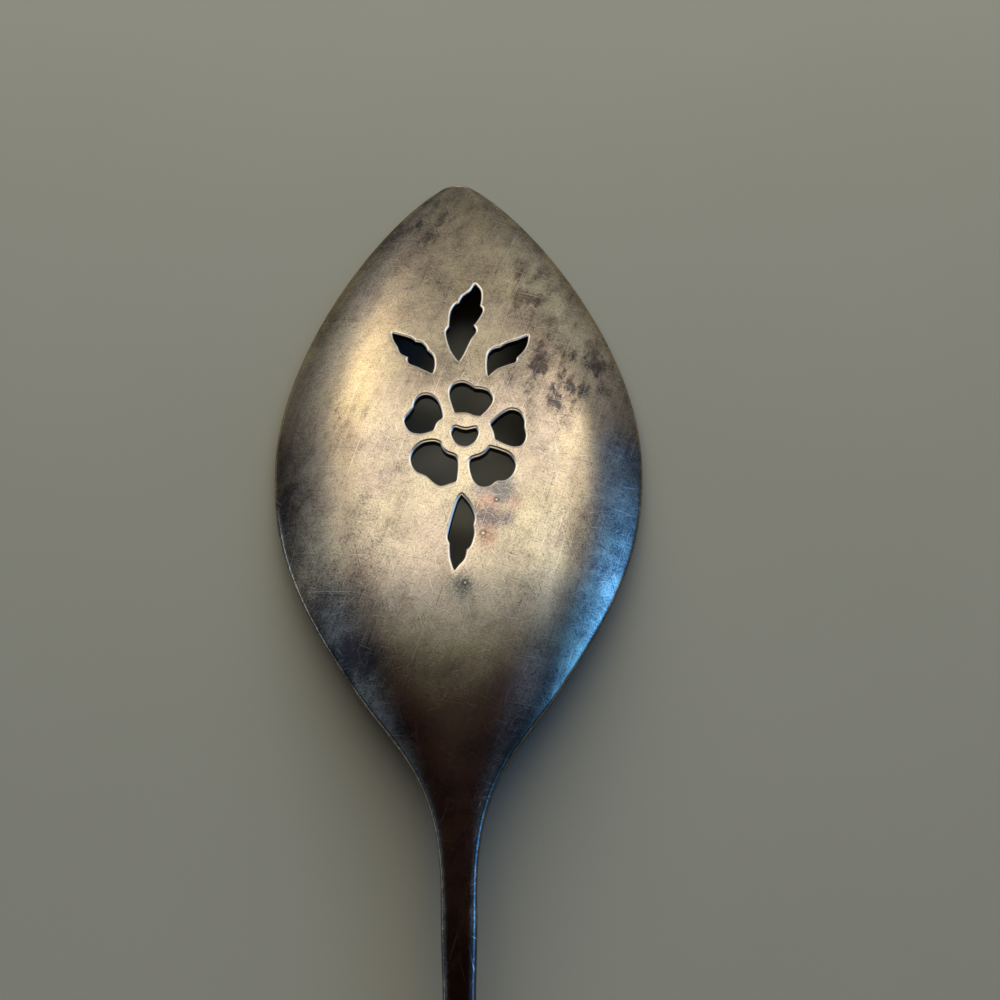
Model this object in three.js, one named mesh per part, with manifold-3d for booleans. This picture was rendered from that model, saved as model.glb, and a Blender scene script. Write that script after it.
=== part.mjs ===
// A pierced tomato server, lying on a table with the domed side of its blade up.
// The dished blade, its shank and its tang are one forging. The tang is cemented into a hollow
// handle of two stamped shells, and a collar closes the handle's mouth round the tang.
// Millimetres. +Z is up and the server rests on Z = 0. +Y points to the blade's tip, +X is to the
// right seen from the handle, and the origin is under the middle of the server.
import * as THREE from "three";
import { mergeVertices } from "three/addons/utils/BufferGeometryUtils.js";
import Module from "manifold-3d";

// Plan of the blade and shank. Every "from tip" size runs along the server from the blade's tip.
const TIP_RADIUS = 4.9;
const TIP_HALF_ANGLE = 54; // degrees between a flank and the centre line, beside the tip
const TIP_FLANK_PULL = 13.8; // how far the flank runs on in that direction
const BLADE_WIDTH = 58;
const WIDEST_FROM_TIP = 53;
const WIDEST_FORWARD_PULL = 19.8;
const WIDEST_REAR_PULL = 14.1;
const HEEL_FROM_TIP = 92.2; // where the outline turns from convex to concave
const HEEL_WIDTH = 29.1;
const HEEL_HALF_ANGLE = 34; // degrees
const HEEL_FORWARD_PULL = 18.4;
const HEEL_REAR_PULL = 10;
const NECK_FROM_TIP = 120.6;
const NECK_WIDTH = 5;
const NECK_PULL = 15.8;
const SHANK_FROM_TIP = 137.6; // the thinnest place
const SHANK_WIDTH = 4.4;
const BOLSTER_FROM_TIP = 154; // the face that meets the collar
const BOLSTER_WIDTH = 6.8;

// Side view of the blade and shank
const CROWN_THICKNESS = 1.8;
const RIM_THICKNESS = 1.2;
const SHANK_THICKNESS = 3.8;
const BOLSTER_THICKNESS = 6;
const CROWN_WIDTH = 16; // flat top of the dome at the widest place
const CROWN_START = 53; // from tip
const CROWN_END = 70; // from tip
const CROWN_HEIGHT = 7.6; // middle of the metal above the table
const RIM_HEIGHT = 0.6; // the rim's middle above the table, from the tip to the widest place
const TIP_CURL = 2; // exponent of the fall to the tip
const HANDLE_HEIGHT = 5.4; // axis of the handle at the bolster

// Pierced flower. Its cuts are placed from the flower's centre, +X right and +Y to the tip.
const FLOWER_FROM_TIP = 51.8;
const FLOWER_OFFSET = 1.3; // to the right of the centre line
// Each cut is its runs round the edge. A run starts at a corner, passes smoothly through its points
// and ends at the corner that starts the next run.
const LEAF_CUTS = [
  [
    [[1.7, 28.3], [2.5, 27], [2.6, 25.4]],
    [[2.4, 23.8], [2.8, 22.8], [1.9, 20.8]],
    [[1.3, 19.9], [1.7, 18.7], [0.8, 17.1], [-0.3, 14.4]],
    [[-1, 13.1], [-2.2, 15.3], [-2.9, 18.4]],
    [[-2.4, 19.7], [-2.2, 22.4], [-1.6, 23.9]],
    [[-0.8, 24.5], [-0.3, 25.7], [0.9, 26.8]],
  ],
  [
    [[-11.6, 18.9], [-9.9, 18.2], [-8.6, 17.6]],
    [[-7.9, 16.9], [-7, 16.7], [-6.3, 15.9]],
    [[-6, 15.1], [-5.1, 14], [-4.9, 12.2]],
    [[-5.2, 10.9], [-7.2, 12.1], [-8.8, 13]],
    [[-8.9, 14.1], [-10.1, 14.9]],
    [[-10.6, 16.2], [-11.3, 17.6]],
  ],
  [
    [[10.1, 18], [8.5, 17.1], [6.8, 16.4]],
    [[5.7, 15.6], [4.6, 15.2], [3.8, 14.2], [3.6, 12.1]],
    [[3.7, 10.3], [5, 11.6], [7, 12.5], [7.9, 12.9]],
    [[8.1, 13.7], [9.3, 15.2], [9.9, 16.7]],
  ],
  [
    [[-0.6, -10.4], [0.6, -12.1], [1.2, -14]],
    [[1, -15.3], [1.1, -16.8], [0.6, -18.6]],
    [[0, -19.2], [-0.3, -20.6], [-1.2, -21.7]],
    [[-1.7, -22.4], [-2.2, -20.5]],
    [[-2.3, -18.2], [-2.6, -17.1], [-2.1, -14.7], [-1.2, -11.5]],
  ],
];
const PETAL_CUTS = [
  [
    [[-1.5, 3.7], [0.3, 3.7], [1.5, 3.2]],
    [
      [2.3, 3.1], [3.5, 4.4], [4.2, 5.9], [3.6, 7.3], [2.5, 7.8], [1.6, 7.9], [0.9, 8.4],
      [-0.2, 9], [-1.4, 8.8], [-2.2, 7.8], [-2.2, 6.2],
    ],
  ],
  [
    [
      [4, 1.5], [5.4, 3], [7, 4], [8.4, 3.6], [9, 2.2], [9, 1], [9.2, -0.5], [8.7, -1.8],
      [7.6, -2.2], [6.2, -1.8],
    ],
    [[4.7, -1], [4.5, 0.2]],
  ],
  [
    [
      [3.8, -2.5], [5.3, -3], [6.8, -3.8], [7.5, -5.4], [7, -7], [5.9, -7.9], [4.7, -8],
      [3.6, -8.8], [2.3, -8.9], [1.3, -7.9], [0.8, -6], [0.9, -4.5], [2.3, -3.9], [3.2, -3.3],
    ],
  ],
  [
    [
      [-3.9, -1.7], [-4.9, -1.3], [-6.6, -1.6], [-7.9, -2.9], [-8.2, -4.5], [-7.5, -6.1],
      [-5.9, -7], [-4.8, -8.1], [-3.8, -8.7], [-2.6, -8.4],
    ],
    [[-1.5, -8], [-1.3, -5.8], [-1.5, -4.1], [-2.8, -3.4], [-3.5, -2.7]],
  ],
  [
    [
      [-5, 0.7], [-6.9, 0.2], [-8.5, 0.7], [-9.3, 2.4], [-8.6, 3.7], [-8, 4.6], [-7.7, 5.8],
      [-6.8, 6.8], [-5.5, 6.8], [-4.4, 5.8], [-3.8, 4.2],
    ],
    [[-3.6, 2.8], [-4.5, 2]],
  ],
];
const EYE_CUT = [
  [[-1.5, 1.1], [0, 0.6]],
  [[1.6, 0.9], [1.9, 0], [1.3, -1.4], [0, -2.1], [-1.3, -1.6], [-2, -0.1], [-1.8, 0.8]],
];

// Hollow handle. Distances along it run back from the bolster.
const HANDLE_LENGTH = 84;
const HANDLE_MOUTH_WIDTH = 8.4;
const HANDLE_MOUTH_THICKNESS = 7.6;
const HANDLE_WIDTH = 16.6;
const HANDLE_THICKNESS = 10.4;
const BUTT_LENGTH = 18; // the rounded end
const SHELL_WALL = 0.7;
const COLLAR_LENGTH = 4;
const COLLAR_BEAD = 0.7; // how far its bead stands proud
const SPIGOT_LENGTH = 5; // the part of the collar inside the shells
const TANG_WIDTH = 3.4;
const TANG_THICKNESS = 2.4;
const TANG_LENGTH = 50;
const SEAT_GAP = 0.3; // between pieces that are soldered or cemented together

// Section shapes: exponents of the superellipses, from 2 for an ellipse to a sharp rectangle
const SHEET_SQUARENESS = 14;
const SHANK_SQUARENESS = 3.5;
const TANG_SQUARENESS = 6;
const HANDLE_SQUARENESS = 2.3;

// Fineness of the facets
const BLADE_SECTION_STEPS = 10; // from the centre line to a rim
const TIP_STEPS = 4;
const FLANK_STEPS = 14;
const SHOULDER_STEPS = 11;
const HEEL_STEPS = 12;
const NECK_STEPS = 5;
const FLARE_STEPS = 5;
const HANDLE_SECTION_STEPS = 24; // round the whole section
const HANDLE_STEPS = 12;
const BUTT_STEPS = 7;
const COLLAR_STEPS = 6;
const PIERCING_STEPS = 3; // for each point of a run

const OVERCUT = 1; // how far a cutter runs past what it cuts
const { smoothstep, lerp, degToRad } = THREE.MathUtils;

const wasm = await Module();
wasm.setup();

// A closed geometry as a solid for joining and cutting.
function toSolid(geometry) {
  geometry.deleteAttribute("normal");
  geometry.deleteAttribute("uv");
  const merged = mergeVertices(geometry);
  const mesh = new wasm.Mesh({
    numProp: 3,
    vertProperties: merged.getAttribute("position").array,
    triVerts: new Uint32Array(merged.index.array),
  });
  return new wasm.Manifold(mesh);
}

// A named mesh of a solid.
function toMesh(name, solid, material) {
  const { vertProperties, triVerts } = solid.getMesh();
  const geometry = new THREE.BufferGeometry();
  geometry.setAttribute("position", new THREE.BufferAttribute(vertProperties, 3));
  geometry.setIndex(new THREE.BufferAttribute(triVerts, 1));
  geometry.computeVertexNormals();
  const mesh = new THREE.Mesh(geometry, material);
  mesh.name = name;
  return mesh;
}

// A solid through a row of sections that run towards -Y, each a ring of as many points that goes
// from +X over the top to -X and back underneath.
function loft(sections) {
  const count = sections[0].length;
  const last = (sections.length - 1) * count;
  const index = [];
  for (let start = 0; start < last; start += count) {
    for (let i = 0; i < count; i++) {
      const a = start + i;
      const b = start + ((i + 1) % count);
      index.push(a, b, a + count, b, b + count, a + count);
    }
  }
  for (let i = 1; i < count - 1; i++) {
    index.push(0, i + 1, i, last, last + i, last + i + 1);
  }
  const geometry = new THREE.BufferGeometry().setFromPoints(sections.flat());
  geometry.setIndex(index);
  return toSolid(geometry);
}

// Half sizes of the handle at a distance from the bolster, drawn in on every side by an inset.
function handleHalfSizes(distance, inset) {
  const taper = HANDLE_LENGTH - BUTT_LENGTH;
  const swell = smoothstep(distance, COLLAR_LENGTH, taper);
  const into = Math.max(0, distance - taper) / (BUTT_LENGTH - inset);
  const rounding = Math.sqrt(Math.max(0, 1 - into * into));
  return {
    halfWidth: (lerp(HANDLE_MOUTH_WIDTH, HANDLE_WIDTH, swell) / 2 - inset) * rounding,
    halfThickness: (lerp(HANDLE_MOUTH_THICKNESS, HANDLE_THICKNESS, swell) / 2 - inset) * rounding,
  };
}

// Distances of the handle's sections, from a start to its rounded end.
function handleDistances(start, inset) {
  const taper = HANDLE_LENGTH - BUTT_LENGTH;
  const distances = [];
  for (let i = 0; i < HANDLE_STEPS; i++) distances.push(lerp(start, taper, i / HANDLE_STEPS));
  for (let i = 0; i < BUTT_STEPS; i++) {
    const turn = (Math.PI / 2) * (i / BUTT_STEPS);
    distances.push(taper + (BUTT_LENGTH - inset) * Math.sin(turn));
  }
  return distances;
}

// The angle at which the handle slopes down from the bolster until its underside meets the table.
const handleSlope = Math.min(
  ...handleDistances(COLLAR_LENGTH + SEAT_GAP, 0).map((distance) => {
    const { halfThickness } = handleHalfSizes(distance, 0);
    const back = distance + SEAT_GAP;
    const drop = Math.min(1, HANDLE_HEIGHT / Math.hypot(back, halfThickness));
    return Math.asin(drop) - Math.atan2(halfThickness, back);
  }),
);
const serverLength = BOLSTER_FROM_TIP + (SEAT_GAP + HANDLE_LENGTH) * Math.cos(handleSlope);
const tipY = serverLength / 2;

// The half outline: x is the distance from the tip, y the half width.
function bladeOutline() {
  const flank = degToRad(TIP_HALF_ANGLE);
  const heel = degToRad(HEEL_HALF_ANGLE);
  const flankX = TIP_RADIUS * (1 - Math.sin(flank));
  const flankY = TIP_RADIUS * Math.cos(flank);
  const outline = new THREE.Path();
  outline.absarc(TIP_RADIUS, 0, TIP_RADIUS, Math.PI, Math.PI / 2 + flank, true);
  outline.bezierCurveTo(
    flankX + TIP_FLANK_PULL * Math.cos(flank),
    flankY + TIP_FLANK_PULL * Math.sin(flank),
    WIDEST_FROM_TIP - WIDEST_FORWARD_PULL,
    BLADE_WIDTH / 2,
    WIDEST_FROM_TIP,
    BLADE_WIDTH / 2,
  );
  outline.bezierCurveTo(
    WIDEST_FROM_TIP + WIDEST_REAR_PULL,
    BLADE_WIDTH / 2,
    HEEL_FROM_TIP - HEEL_FORWARD_PULL * Math.cos(heel),
    HEEL_WIDTH / 2 + HEEL_FORWARD_PULL * Math.sin(heel),
    HEEL_FROM_TIP,
    HEEL_WIDTH / 2,
  );
  outline.bezierCurveTo(
    HEEL_FROM_TIP + HEEL_REAR_PULL * Math.cos(heel),
    HEEL_WIDTH / 2 - HEEL_REAR_PULL * Math.sin(heel),
    NECK_FROM_TIP - NECK_PULL,
    NECK_WIDTH / 2,
    NECK_FROM_TIP,
    NECK_WIDTH / 2,
  );
  const slimming = (SHANK_FROM_TIP - NECK_FROM_TIP) / 2;
  outline.bezierCurveTo(
    NECK_FROM_TIP + slimming,
    NECK_WIDTH / 2,
    SHANK_FROM_TIP - slimming,
    SHANK_WIDTH / 2,
    SHANK_FROM_TIP,
    SHANK_WIDTH / 2,
  );
  const flare = (BOLSTER_FROM_TIP - SHANK_FROM_TIP) / 2;
  outline.bezierCurveTo(
    SHANK_FROM_TIP + flare,
    SHANK_WIDTH / 2,
    BOLSTER_FROM_TIP - flare,
    BOLSTER_WIDTH / 2,
    BOLSTER_FROM_TIP,
    BOLSTER_WIDTH / 2,
  );
  return outline;
}

// Height of the handle's axis, drawn on along the shank.
function shankHeight(fromTip) {
  return HANDLE_HEIGHT + Math.tan(handleSlope) * (BOLSTER_FROM_TIP - fromTip);
}

// How far a place has fallen away from the crown towards the tip, from 0 to 1.
function fallToTip(fromTip) {
  return Math.max(0, 1 - fromTip / CROWN_START) ** TIP_CURL;
}

// Height of the middle of the metal on the centre line: up from the tip, flat, then down to the shank.
function centreHeight(fromTip) {
  const crown = lerp(CROWN_HEIGHT, RIM_HEIGHT, fallToTip(fromTip));
  const toNeck = smoothstep(fromTip, CROWN_END, NECK_FROM_TIP);
  return lerp(crown, shankHeight(fromTip), toNeck);
}

// Height of the middle of the metal at the rim: along the table, then up to the shank.
function rimHeight(fromTip) {
  const toNeck = smoothstep(fromTip, WIDEST_FROM_TIP, NECK_FROM_TIP);
  return lerp(RIM_HEIGHT, shankHeight(fromTip), toNeck);
}

// One section across the blade or shank. The dome fades out at the tip and towards the neck, where
// the sheet thickens into a rounded bar that tilts until it is square to the handle.
function bladeSection(fromTip, halfWidth) {
  const toNeck = smoothstep(fromTip, CROWN_END, NECK_FROM_TIP);
  const toBolster = smoothstep(fromTip, SHANK_FROM_TIP, BOLSTER_FROM_TIP);
  const pastHeel = smoothstep(fromTip, HEEL_FROM_TIP, NECK_FROM_TIP);
  const squareness = lerp(SHEET_SQUARENESS, SHANK_SQUARENESS, pastHeel);
  const sheet = lerp(CROWN_THICKNESS, RIM_THICKNESS, fallToTip(fromTip));
  const middle = lerp(lerp(sheet, SHANK_THICKNESS, toNeck), BOLSTER_THICKNESS, toBolster);
  const edge = lerp(RIM_THICKNESS, middle, toNeck);
  const tilt = handleSlope * smoothstep(fromTip, NECK_FROM_TIP, BOLSTER_FROM_TIP);
  const flatShare = CROWN_WIDTH / BLADE_WIDTH;
  const drop = rimHeight(fromTip) - centreHeight(fromTip);

  const pointAt = (across, side) => {
    const bend = Math.max(0, (Math.abs(across) - flatShare) / (1 - flatShare)) ** 2;
    const roundness = (1 - Math.abs(across) ** squareness) ** (1 / squareness);
    const up = drop * bend + (side * lerp(middle, edge, bend) * roundness) / 2;
    return new THREE.Vector3(
      halfWidth * across,
      tipY - fromTip - up * Math.sin(tilt),
      centreHeight(fromTip) + up * Math.cos(tilt),
    );
  };

  const ring = [];
  for (let i = BLADE_SECTION_STEPS; i >= -BLADE_SECTION_STEPS; i--) {
    ring.push(pointAt(Math.sin((Math.PI / 2) * (i / BLADE_SECTION_STEPS)), 1));
  }
  for (let i = 1 - BLADE_SECTION_STEPS; i < BLADE_SECTION_STEPS; i++) {
    ring.push(pointAt(Math.sin((Math.PI / 2) * (i / BLADE_SECTION_STEPS)), -1));
  }
  return ring;
}

// A superellipse section at a distance behind the bolster, in the handle's own frame.
function barSection(distance, halfWidth, halfThickness, squareness, steps) {
  const ring = [];
  for (let i = 0; i < steps; i++) {
    const turn = (2 * Math.PI * i) / steps;
    const x = Math.sign(Math.cos(turn)) * Math.abs(Math.cos(turn)) ** (2 / squareness);
    const z = Math.sign(Math.sin(turn)) * Math.abs(Math.sin(turn)) ** (2 / squareness);
    ring.push(new THREE.Vector3(halfWidth * x, -distance, halfThickness * z));
  }
  return ring;
}

// The tang's section, or that of the hole it sits in.
function tangSection(distance, gap) {
  return barSection(
    distance,
    TANG_WIDTH / 2 + gap,
    TANG_THICKNESS / 2 + gap,
    TANG_SQUARENESS,
    4 * BLADE_SECTION_STEPS,
  );
}

// A place on the blade, given from the flower's centre.
function inFlower(x, y) {
  return [FLOWER_OFFSET + x, tipY - FLOWER_FROM_TIP + y];
}

// The outline of one cut, run by run.
function cutShape(runs) {
  const cut = new THREE.Shape();
  cut.moveTo(...inFlower(...runs[0][0]));
  runs.forEach((run, i) => {
    const corner = runs[(i + 1) % runs.length][0];
    const points = [...run.slice(1), corner];
    cut.splineThru(points.map((point) => new THREE.Vector2(...inFlower(...point))));
  });
  return cut;
}

// Punches through the whole height of the dome.
function piercings() {
  const shapes = [...LEAF_CUTS, ...PETAL_CUTS, EYE_CUT].map(cutShape);
  const depth = CROWN_HEIGHT + CROWN_THICKNESS + 2 * OVERCUT;
  return shapes.map((shape) => {
    const punch = new THREE.ExtrudeGeometry(shape, {
      depth,
      bevelEnabled: false,
      curveSegments: PIERCING_STEPS,
    });
    return toSolid(punch.translate(0, 0, -OVERCUT));
  });
}

// The forging: blade, shank and bolster from the outline, then the tang along the handle's axis.
function piercedBlade(handle) {
  const steps = [TIP_STEPS, FLANK_STEPS, SHOULDER_STEPS, HEEL_STEPS, NECK_STEPS, FLARE_STEPS];
  const stations = bladeOutline().curves.flatMap((curve, i) => curve.getPoints(steps[i]).slice(1));
  const sections = stations.map((station) => bladeSection(station.x, station.y));
  for (const distance of [-SEAT_GAP, TANG_LENGTH]) {
    sections.push(tangSection(distance, 0).map((point) => handle.localToWorld(point)));
  }
  return piercings().reduce((blade, punch) => blade.subtract(punch), loft(sections));
}

// The handle's section at a distance behind the bolster, drawn in by an inset.
function handleSection(distance, inset) {
  const { halfWidth, halfThickness } = handleHalfSizes(distance, inset);
  return barSection(distance, halfWidth, halfThickness, HANDLE_SQUARENESS, HANDLE_SECTION_STEPS);
}

// The handle's cavity or its filling as a solid, drawn in from the handle's outside by an inset.
function handleSolid(start, inset) {
  return loft(handleDistances(start, inset).map((distance) => handleSection(distance, inset)));
}

// One stamped half of the handle, above or below the seam.
function handleShell(side) {
  const mouth = COLLAR_LENGTH + SEAT_GAP;
  const half = HANDLE_SECTION_STEPS / 2;
  const sections = handleDistances(mouth, 0).map((distance) => {
    const ring = handleSection(distance, 0);
    return side > 0 ? ring.slice(0, half + 1) : [...ring.slice(half), ring[0]];
  });
  return loft(sections).subtract(handleSolid(mouth - OVERCUT, SHELL_WALL));
}

// A beaded ring between the bolster and the shells, with a spigot inside them and a hole for the tang.
function collar() {
  const sections = [];
  for (let i = 0; i <= COLLAR_STEPS; i++) {
    const turn = (Math.PI * i) / COLLAR_STEPS;
    const along = (1 - Math.cos(turn)) / 2;
    const proud = COLLAR_BEAD * Math.sin(turn);
    sections.push(
      barSection(
        COLLAR_LENGTH * along,
        lerp(BOLSTER_WIDTH, HANDLE_MOUTH_WIDTH, along) / 2 + proud,
        lerp(BOLSTER_THICKNESS, HANDLE_MOUTH_THICKNESS, along) / 2 + proud,
        HANDLE_SQUARENESS,
        HANDLE_SECTION_STEPS,
      ),
    );
  }
  const spigot = handleSection(COLLAR_LENGTH, SHELL_WALL + SEAT_GAP);
  const spigotEnd = new THREE.Vector3(0, -SPIGOT_LENGTH, 0);
  sections.push(spigot, spigot.map((point) => point.clone().add(spigotEnd)));
  const hole = loft([
    tangSection(-OVERCUT, SEAT_GAP),
    tangSection(COLLAR_LENGTH + SPIGOT_LENGTH + OVERCUT, SEAT_GAP),
  ]);
  return loft(sections).subtract(hole);
}

// The filling behind the collar, set round the tang.
function tangCement() {
  const front = COLLAR_LENGTH + SPIGOT_LENGTH + SEAT_GAP;
  const socket = loft([
    tangSection(front - OVERCUT, SEAT_GAP),
    tangSection(TANG_LENGTH + SEAT_GAP, SEAT_GAP),
  ]);
  return handleSolid(front, SHELL_WALL + SEAT_GAP).subtract(socket);
}

const silverPlate = new THREE.MeshStandardMaterial({ color: 0xb4a88f, metalness: 1, roughness: 0.34 });
const cement = new THREE.MeshStandardMaterial({ color: 0x4b3a2b, metalness: 0, roughness: 0.9 });

const handle = new THREE.Group();
handle.rotation.x = handleSlope;
handle.position.set(
  0,
  tipY - BOLSTER_FROM_TIP - SEAT_GAP * Math.cos(handleSlope),
  HANDLE_HEIGHT - SEAT_GAP * Math.sin(handleSlope),
);
handle.updateMatrixWorld();
handle.add(toMesh("handle_collar", collar(), silverPlate));
handle.add(toMesh("handle_front_shell", handleShell(1), silverPlate));
handle.add(toMesh("handle_back_shell", handleShell(-1), silverPlate));
handle.add(toMesh("tang_cement", tangCement(), cement));

const server = new THREE.Group();
server.add(toMesh("pierced_blade", piercedBlade(handle), silverPlate));
server.add(handle);

export default server;
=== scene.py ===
import bisect
import math

import bmesh
import bpy
from mathutils import Matrix, Vector, geometry, kdtree


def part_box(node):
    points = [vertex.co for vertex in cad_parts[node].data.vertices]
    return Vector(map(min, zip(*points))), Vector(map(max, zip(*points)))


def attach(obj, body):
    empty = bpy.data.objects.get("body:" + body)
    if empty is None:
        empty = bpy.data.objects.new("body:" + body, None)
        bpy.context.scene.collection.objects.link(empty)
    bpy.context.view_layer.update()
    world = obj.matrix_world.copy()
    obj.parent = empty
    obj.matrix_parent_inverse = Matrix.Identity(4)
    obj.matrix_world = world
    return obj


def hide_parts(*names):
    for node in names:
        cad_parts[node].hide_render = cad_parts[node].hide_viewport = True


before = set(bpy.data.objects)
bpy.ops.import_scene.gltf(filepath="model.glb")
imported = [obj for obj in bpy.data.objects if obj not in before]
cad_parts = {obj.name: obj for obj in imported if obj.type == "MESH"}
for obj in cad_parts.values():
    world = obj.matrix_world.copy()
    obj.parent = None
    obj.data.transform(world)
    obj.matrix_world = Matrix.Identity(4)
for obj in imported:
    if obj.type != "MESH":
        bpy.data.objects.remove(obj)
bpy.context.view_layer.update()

# Pierced blade: a blank of nickel silver with its shank and bolster in one piece, sawn through in a
# flower and four leaves, struck into a shallow dome and silver plated. It lies dome up, with the rim
# near the table, and its bolster meets the collar of the handle.
MM = 0.001
TIP_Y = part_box("pierced_blade")[1].y
TIP_RADIUS = 4.9 * MM
TIP_HALF_ANGLE = math.radians(54)
TIP_FLANK_PULL = 13.8 * MM
BLADE_WIDTH = 58 * MM
WIDEST_FROM_TIP = 53 * MM
WIDEST_FORWARD_PULL = 19.8 * MM
WIDEST_REAR_PULL = 14.1 * MM
HEEL_FROM_TIP = 92.2 * MM
HEEL_WIDTH = 29.1 * MM
HEEL_HALF_ANGLE = math.radians(34)
HEEL_FORWARD_PULL = 18.4 * MM
HEEL_REAR_PULL = 10 * MM
NECK_FROM_TIP = 120.6 * MM
NECK_WIDTH = 5 * MM
NECK_PULL = 15.8 * MM
SHANK_FROM_TIP = 137.6 * MM
SHANK_WIDTH = 4.4 * MM
BOLSTER_FROM_TIP = 154 * MM
BOLSTER_WIDTH = 6.8 * MM
OUTLINE_STEP = 0.35 * MM
PIERCING_STEP = 0.2 * MM
KNOT_PULL_DIVISOR = 6
TIP_STEPS = 14


def curve_points(bend, step):
    """Points about a step apart along a bend of four control points, without its end."""
    length = sum((b - a).length for a, b in zip(bend, bend[1:]))
    count = max(2, math.ceil(length / step))
    return geometry.interpolate_bezier(*bend, count + 1)[:-1]


# The half outline is drawn as distance from the tip and half width.
flank_way = Vector((math.cos(TIP_HALF_ANGLE), math.sin(TIP_HALF_ANGLE)))
heel_way = Vector((math.cos(HEEL_HALF_ANGLE), -math.sin(HEEL_HALF_ANGLE)))
flank_start = TIP_RADIUS * Vector((1 - flank_way.y, flank_way.x))
widest = Vector((WIDEST_FROM_TIP, BLADE_WIDTH / 2))
heel = Vector((HEEL_FROM_TIP, HEEL_WIDTH / 2))
neck = Vector((NECK_FROM_TIP, NECK_WIDTH / 2))
shank = Vector((SHANK_FROM_TIP, SHANK_WIDTH / 2))
bolster = Vector((BOLSTER_FROM_TIP, BOLSTER_WIDTH / 2))
along = Vector((1, 0))
shank_pull = (SHANK_FROM_TIP - NECK_FROM_TIP) / 2 * along
bolster_pull = (BOLSTER_FROM_TIP - SHANK_FROM_TIP) / 2 * along
outline_bends = [
    [
        flank_start,
        flank_start + TIP_FLANK_PULL * flank_way,
        widest - WIDEST_FORWARD_PULL * along,
        widest,
    ],
    [widest, widest + WIDEST_REAR_PULL * along, heel - HEEL_FORWARD_PULL * heel_way, heel],
    [heel, heel + HEEL_REAR_PULL * heel_way, neck - NECK_PULL * along, neck],
    [neck, neck + shank_pull, shank - shank_pull, shank],
    [shank, shank + bolster_pull, bolster - bolster_pull, bolster],
]
half_outline = []
for step in range(TIP_STEPS):
    turn = (math.pi / 2 - TIP_HALF_ANGLE) * step / TIP_STEPS
    half_outline.append(TIP_RADIUS * Vector((1 - math.cos(turn), math.sin(turn))))
for bend in outline_bends:
    half_outline += curve_points(bend, OUTLINE_STEP)
half_outline.append(bolster)
outline_stations = [point.x for point in half_outline]


def half_width(from_tip):
    """Half the blade's width at a distance from the tip."""
    after = bisect.bisect_right(outline_stations, from_tip)
    after = min(max(after, 1), len(half_outline) - 1)
    a, b = half_outline[after - 1], half_outline[after]
    return a.lerp(b, (from_tip - a.x) / (b.x - a.x)).y


# The piercing is drawn from the flower's centre, in millimetres, with +Y to the tip. Each cut is its
# runs round the edge: a run starts at a corner and ends at the corner that starts the next run.
FLOWER_OFFSET = 1.3 * MM
FLOWER_FROM_TIP = 51.74 * MM
LEAF_CUTS = [
    [
        [(1.7, 28.3), (2.5, 27), (2.6, 25.4)],
        [(2.4, 23.8), (2.8, 22.8), (1.9, 20.8)],
        [(1.3, 19.9), (1.7, 18.7), (0.8, 17.1), (-0.3, 14.4)],
        [(-1, 13.1), (-2.2, 15.3), (-2.9, 18.4)],
        [(-2.4, 19.7), (-2.2, 22.4), (-1.6, 23.9)],
        [(-0.8, 24.5), (-0.3, 25.7), (0.9, 26.8)],
    ],
    [
        [(-11.6, 18.9), (-9.9, 18.2), (-8.6, 17.6)],
        [(-7.9, 16.9), (-7, 16.7), (-6.3, 15.9)],
        [(-6, 15.1), (-5.1, 14), (-4.9, 12.2)],
        [(-5.2, 10.9), (-7.2, 12.1), (-8.8, 13)],
        [(-8.9, 14.1), (-10.1, 14.9)],
        [(-10.6, 16.2), (-11.3, 17.6)],
    ],
    [
        [(10.1, 18), (8.5, 17.1), (6.8, 16.4)],
        [(5.7, 15.6), (4.6, 15.2), (3.8, 14.2), (3.6, 12.1)],
        [(3.7, 10.3), (5, 11.6), (7, 12.5), (7.9, 12.9)],
        [(8.1, 13.7), (9.3, 15.2), (9.9, 16.7)],
    ],
    [
        [(-0.6, -10.4), (0.6, -12.1), (1.2, -14)],
        [(1, -15.3), (1.1, -16.8), (0.6, -18.6)],
        [(0, -19.2), (-0.3, -20.6), (-1.2, -21.7)],
        [(-1.7, -22.4), (-2.2, -20.5)],
        [(-2.3, -18.2), (-2.6, -17.1), (-2.1, -14.7), (-1.2, -11.5)],
    ],
]
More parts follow.
